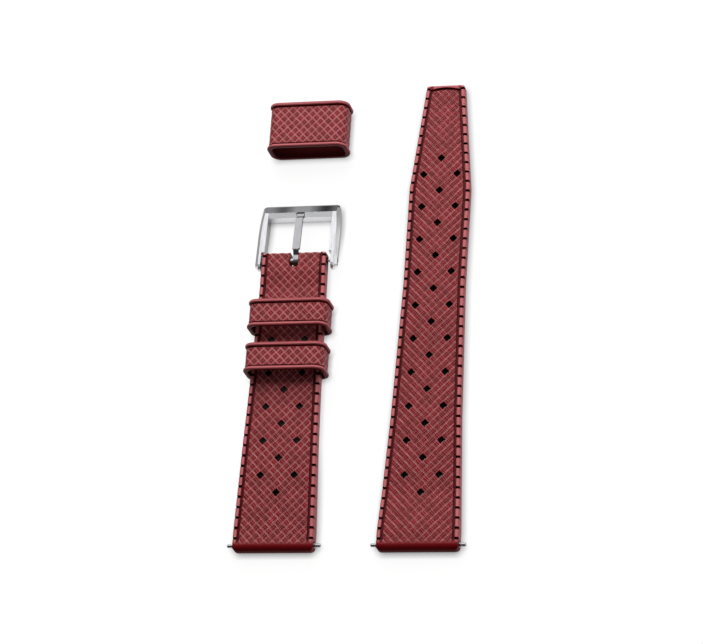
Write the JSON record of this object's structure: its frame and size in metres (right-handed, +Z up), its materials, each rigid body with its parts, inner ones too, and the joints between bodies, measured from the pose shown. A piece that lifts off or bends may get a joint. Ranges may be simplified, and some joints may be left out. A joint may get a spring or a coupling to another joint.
{
  "type": "rubber dive strap",
  "caption": "Two-piece perforated rubber dive strap with pin buckle, fitted keepers, a loose keeper and sprung bars for a watch case.",
  "frame": {"origin": "centre of the footprint of the laid-out set, on the table it lies on", "axes": "+X across the strap towards the long half, +Y from the lug ends to the free ends, +Z up from the table"},
  "size_m": [0.0576, 0.12, 0.0081],
  "materials": {
    "strap_rubber": "moulded basket weave, matt",
    "keeper_rubber": "moulded basket weave, matt",
    "buckle_steel": "brushed top, polished bevels",
    "tongue_steel": "brushed along its length",
    "bar_steel": "turned",
    "spring_steel": "drawn wire"
  },
  "bodies": {
    "strap_long": {"strap_long": "strap_rubber"},
    "strap_short": {"strap_short": "strap_rubber"},
    "keeper_upper": {"keeper_upper": "keeper_rubber"},
    "keeper_lower": {"keeper_lower": "keeper_rubber"},
    "keeper_spare": {"keeper_spare": "keeper_rubber"},
    "buckle_frame": {"buckle_frame": "buckle_steel"},
    "buckle_tongue": {"buckle_tongue": "tongue_steel"},
    "lug_bar_long": {"lug_bar_long_tube": "bar_steel", "lug_bar_long_spring": "spring_steel"},
    "lug_bar_long_pin_left": {"lug_bar_long_pin_left": "bar_steel"},
    "lug_bar_long_pin_right": {"lug_bar_long_pin_right": "bar_steel"},
    "lug_bar_short": {"lug_bar_short_tube": "bar_steel", "lug_bar_short_spring": "spring_steel"},
    "lug_bar_short_pin_left": {"lug_bar_short_pin_left": "bar_steel"},
    "lug_bar_short_pin_right": {"lug_bar_short_pin_right": "bar_steel"},
    "buckle_bar": {"buckle_bar_tube": "bar_steel", "buckle_bar_spring": "spring_steel"},
    "buckle_bar_pin_left": {"buckle_bar_pin_left": "bar_steel"},
    "buckle_bar_pin_right": {"buckle_bar_pin_right": "bar_steel"}
  },
  "joints": [
    {"name": "strap_long_lift", "type": "slide", "parent": "strap_short", "child": "strap_long", "axis": [0, 0, 1], "range_m": [0, 0.03]},
    {"name": "keeper_spare_lift", "type": "slide", "parent": "strap_short", "child": "keeper_spare", "axis": [0, 0, 1], "range_m": [0, 0.03]},
    {"name": "keeper_upper_slide", "type": "slide", "parent": "strap_short", "child": "keeper_upper", "axis": [0, 1, 0], "range_m": [-0.0021, 0.0078]},
    {"name": "keeper_lower_slide", "type": "slide", "parent": "strap_short", "child": "keeper_lower", "axis": [0, 1, 0], "range_m": [-0.003, 0.0021]},
    {"name": "buckle_swing", "type": "hinge", "parent": "strap_short", "child": "buckle_frame", "pos_m": [-0.01702, 0.01385, 0.00295], "axis": [1, 0, 0], "range_deg": [-60, 40]},
    {"name": "tongue_swing", "type": "hinge", "parent": "buckle_frame", "child": "buckle_tongue", "pos_m": [-0.01702, 0.01385, 0.00295], "axis": [1, 0, 0], "range_deg": [0, 60]},
    {"name": "lug_bar_long_spin", "type": "hinge", "parent": "strap_long", "child": "lug_bar_long", "pos_m": [0.01742, -0.05825, 0.00175], "axis": [1, 0, 0], "continuous": true},
    {"name": "lug_bar_long_pin_left_press", "type": "slide", "parent": "lug_bar_long", "child": "lug_bar_long_pin_left", "axis": [1, 0, 0], "range_m": [0, 0.0013], "stiffness_N_per_m": 400, "deforming": ["lug_bar_long_spring"]},
    {"name": "lug_bar_long_pin_right_press", "type": "slide", "parent": "lug_bar_long", "child": "lug_bar_long_pin_right", "axis": [-1, 0, 0], "range_m": [0, 0.0013], "stiffness_N_per_m": 400, "deforming": ["lug_bar_long_spring"]},
    {"name": "lug_bar_short_spin", "type": "hinge", "parent": "strap_short", "child": "lug_bar_short", "pos_m": [-0.01742, -0.05825, 0.00175], "axis": [1, 0, 0], "continuous": true},
    {"name": "lug_bar_short_pin_left_press", "type": "slide", "parent": "lug_bar_short", "child": "lug_bar_short_pin_left", "axis": [1, 0, 0], "range_m": [0, 0.0013], "stiffness_N_per_m": 400, "deforming": ["lug_bar_short_spring"]},
    {"name": "lug_bar_short_pin_right_press", "type": "slide", "parent": "lug_bar_short", "child": "lug_bar_short_pin_right", "axis": [-1, 0, 0], "range_m": [0, 0.0013], "stiffness_N_per_m": 400, "deforming": ["lug_bar_short_spring"]},
    {"name": "buckle_bar_spin", "type": "hinge", "parent": "strap_short", "child": "buckle_bar", "pos_m": [-0.01702, 0.01385, 0.00295], "axis": [1, 0, 0], "continuous": true},
    {"name": "buckle_bar_pin_left_press", "type": "slide", "parent": "buckle_bar", "child": "buckle_bar_pin_left", "axis": [1, 0, 0], "range_m": [0, 0.00115], "stiffness_N_per_m": 400, "deforming": ["buckle_bar_spring"]},
    {"name": "buckle_bar_pin_right_press", "type": "slide", "parent": "buckle_bar", "child": "buckle_bar_pin_right", "axis": [-1, 0, 0], "range_m": [0, 0.00115], "stiffness_N_per_m": 400, "deforming": ["buckle_bar_spring"]}
  ]
}
